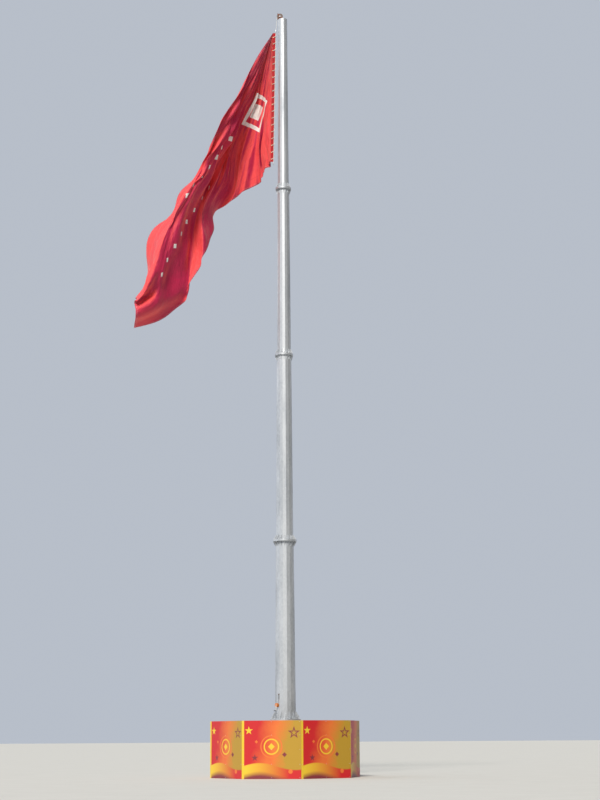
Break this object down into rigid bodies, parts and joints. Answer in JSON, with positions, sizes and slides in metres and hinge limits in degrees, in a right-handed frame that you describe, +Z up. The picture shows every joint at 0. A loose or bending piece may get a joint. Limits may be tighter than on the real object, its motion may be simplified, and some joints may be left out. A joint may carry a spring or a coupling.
{
  "type": "flagpole",
  "caption": "Tall sixteen-sided tapered steel flagpole in flanged sections, with revolving truck, drooping flag, hand winch, concrete foundation and octagonal printed hoarding.",
  "frame": {"origin": "on the mast's axis at ground level, at the centre of the foundation's underside", "axes": "+Z up the mast, +X to the right of the front view, +Y away from the viewer"},
  "size_m": [10.138, 6.3912, 35.0266],
  "materials": {
    "concrete": "cast",
    "galvanised_steel": "hot-dip galvanised",
    "red_oxide_paint": "matte primer",
    "orange_enamel": "gloss",
    "white_enamel": "gloss",
    "sheave_nylon": "turned",
    "grip_plastic": "moulded",
    "polyester_rope": "braided",
    "winch_rope": "braided",
    "heading_canvas": "woven",
    "flag_polyester": "woven",
    "printed_board": "printed",
    "frame_steel": "satin"
  },
  "bodies": {
    "root": {"base_flange": "galvanised_steel", "fairlead_roller": "sheave_nylon", "foundation_pedestal": "concrete", "grout_bed": "concrete", "halyard_fall": "winch_rope", "hoarding_frames": "frame_steel", "hoarding_panel_back": "printed_board", "hoarding_panel_back_left": "printed_board", "hoarding_panel_back_right": "printed_board", "hoarding_panel_front": "printed_board", "hoarding_panel_front_left": "printed_board", "hoarding_panel_front_right": "printed_board", "hoarding_panel_left": "printed_board", "hoarding_panel_right": "printed_board", "joint_1_lower_flange": "galvanised_steel", "joint_1_upper_flange": "galvanised_steel", "joint_2_lower_flange": "galvanised_steel", "joint_2_upper_flange": "galvanised_steel", "joint_3_lower_flange": "galvanised_steel", "joint_3_upper_flange": "galvanised_steel", "mast_cap": "galvanised_steel", "mast_section_1": "galvanised_steel", "mast_section_2": "galvanised_steel", "mast_section_3": "galvanised_steel", "mast_section_4": "galvanised_steel", "winch_bracket": "galvanised_steel"},
    "truck": {"truck_spindle": "red_oxide_paint", "truck_cheek_front": "red_oxide_paint", "truck_cheek_back": "red_oxide_paint", "rope_guards": "red_oxide_paint", "sheave_axle": "galvanised_steel", "halyard_over_truck": "polyester_rope", "hoist_line": "polyester_rope", "head_toggle": "galvanised_steel", "tack_toggle": "galvanised_steel", "flag_heading": "heading_canvas", "flag_lashings": "polyester_rope", "flag": "flag_polyester"},
    "sheave_wheel": {"sheave": "sheave_nylon"},
    "winch": {"winch_drum": "orange_enamel", "winch_crank": "white_enamel", "winch_grip": "grip_plastic", "winch_rope_turns": "winch_rope"}
  },
  "joints": [
    {"name": "truck_swivel", "type": "hinge", "parent": "root", "child": "truck", "pos_m": [0, 0, 34.7], "axis": [0, 0, 1], "continuous": true},
    {"name": "sheave_spin", "type": "hinge", "parent": "truck", "child": "sheave_wheel", "pos_m": [-0.128, 0, 34.882], "axis": [0, 1, 0], "continuous": true},
    {"name": "winch_turn", "type": "hinge", "parent": "root", "child": "winch", "pos_m": [-0.35355, -0.35355, 3.03], "axis": [-0.7071, -0.7071, 0], "continuous": true}
  ]
}
